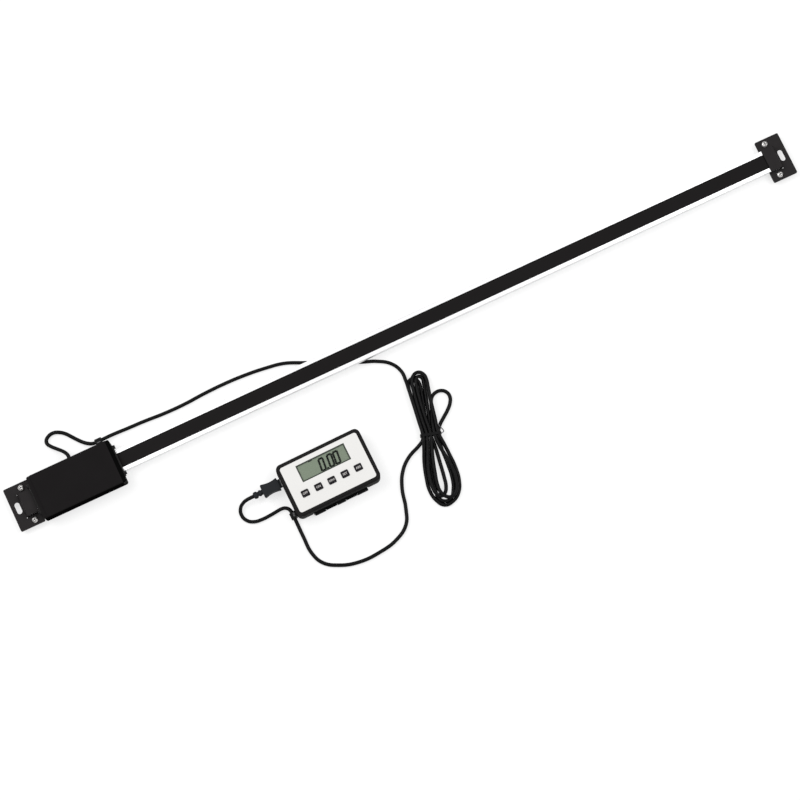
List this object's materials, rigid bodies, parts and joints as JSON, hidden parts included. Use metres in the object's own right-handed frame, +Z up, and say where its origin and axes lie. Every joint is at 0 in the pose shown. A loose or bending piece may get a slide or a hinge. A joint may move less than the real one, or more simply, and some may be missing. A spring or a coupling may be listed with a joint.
{
  "type": "digital linear scale with remote display",
  "caption": "Slim aluminium measuring beam between two slotted end brackets, with a sliding reading head corded to a small tilting remote display.",
  "frame": {"origin": "centre of the reading head's mounting face, with the beam at the start of its travel", "axes": "+X along the beam towards its free end, +Y across the beam away from the display, +Z up out of the head's cover"},
  "size_m": [0.7404, 0.2166, 0.0189],
  "materials": {
    "beam_aluminium": "satin anodised",
    "circuit_board": "solder mask",
    "strip_film": "satin film",
    "bracket_paint": "fine powder coat",
    "bright_steel": "bright plated",
    "head_casting": "black painted",
    "head_cover": "fine matt grain",
    "cap_plastic": "smooth moulded",
    "acetal": "plain",
    "brass": "plain",
    "bronze": "plain",
    "wiper": "plain",
    "black_steel": "black oxide",
    "black_rubber": "plain",
    "clip_nylon": "satin",
    "stand_plastic": "fine grain",
    "cord": "smooth sheath",
    "tie": "plain",
    "display_shell": "fine matt grain",
    "face_plate": "satin printed sheet",
    "window": "clear",
    "lcd": "liquid crystal",
    "connector_rubber": "plain",
    "key_mat": "silicone",
    "button_rubber": "satin silicone",
    "socket_steel": "plated",
    "cell_steel": "plated",
    "magnet_nickel": "nickel plated",
    "plug_plastic": "moulded"
  },
  "bodies": {
    "reader": {"head_base": "head_casting", "head_cover": "head_cover", "left_cap": "cap_plastic", "right_cap": "cap_plastic", "guide_pads": "acetal", "gib_strip": "brass", "gib_spring": "bronze", "reader_board": "circuit_board", "reader_screws": "bright_steel", "left_wiper": "wiper", "right_wiper": "wiper", "wiper_screws": "black_steel", "head_screws": "black_steel", "cord_gland": "black_rubber", "head_clip": "clip_nylon", "head_clip_screw": "bright_steel", "stand": "stand_plastic", "stand_pin": "bright_steel", "cord_head": "cord", "hank": "cord", "cord_tie": "tie", "cord_lead": "cord"},
    "scale": {"beam": "beam_aluminium", "strip_board": "circuit_board", "strip_film": "strip_film", "left_bracket": "bracket_paint", "right_bracket": "bracket_paint", "left_clamp": "bracket_paint", "right_clamp": "bracket_paint", "bracket_screws": "bright_steel"},
    "display": {"display_frame": "display_shell", "face_plate": "face_plate", "lcd_window": "window", "lcd_glass": "lcd", "lcd_connectors": "connector_rubber", "display_board": "circuit_board", "key_mat": "key_mat", "cord_socket": "socket_steel", "rear_cover": "display_shell", "case_screws": "black_steel", "coin_cell": "cell_steel", "battery_contact": "bronze", "battery_door": "display_shell", "magnets": "magnet_nickel", "display_clip": "clip_nylon", "display_clip_screw": "bright_steel", "cord_tail": "cord", "plug": "plug_plastic", "plug_tip": "socket_steel"},
    "key_1": {"button_1": "button_rubber"},
    "key_2": {"button_2": "button_rubber"},
    "key_3": {"button_3": "button_rubber"},
    "key_4": {"button_4": "button_rubber"},
    "key_5": {"button_5": "button_rubber"}
  },
  "joints": [
    {"name": "scale_slide", "type": "slide", "parent": "reader", "child": "scale", "axis": [-1, 0, 0], "range_m": [0, 0.61]},
    {"name": "display_tilt", "type": "hinge", "parent": "reader", "child": "display", "pos_m": [0.19653, -0.1112, 0.003], "axis": [0.9998, 0.0175, 0], "range_deg": [0, 75]},
    {"name": "button_1_press", "type": "slide", "parent": "display", "child": "key_1", "axis": [0, 0, -1], "range_m": [0, 0.0004], "stiffness_N_per_m": 800, "springref_m": -0.0004},
    {"name": "button_2_press", "type": "slide", "parent": "display", "child": "key_2", "axis": [0, 0, -1], "range_m": [0, 0.0004], "stiffness_N_per_m": 800, "springref_m": -0.0004},
    {"name": "button_3_press", "type": "slide", "parent": "display", "child": "key_3", "axis": [0, 0, -1], "range_m": [0, 0.0004], "stiffness_N_per_m": 800, "springref_m": -0.0004},
    {"name": "button_4_press", "type": "slide", "parent": "display", "child": "key_4", "axis": [0, 0, -1], "range_m": [0, 0.0004], "stiffness_N_per_m": 800, "springref_m": -0.0004},
    {"name": "button_5_press", "type": "slide", "parent": "display", "child": "key_5", "axis": [0, 0, -1], "range_m": [0, 0.0004], "stiffness_N_per_m": 800, "springref_m": -0.0004}
  ]
}
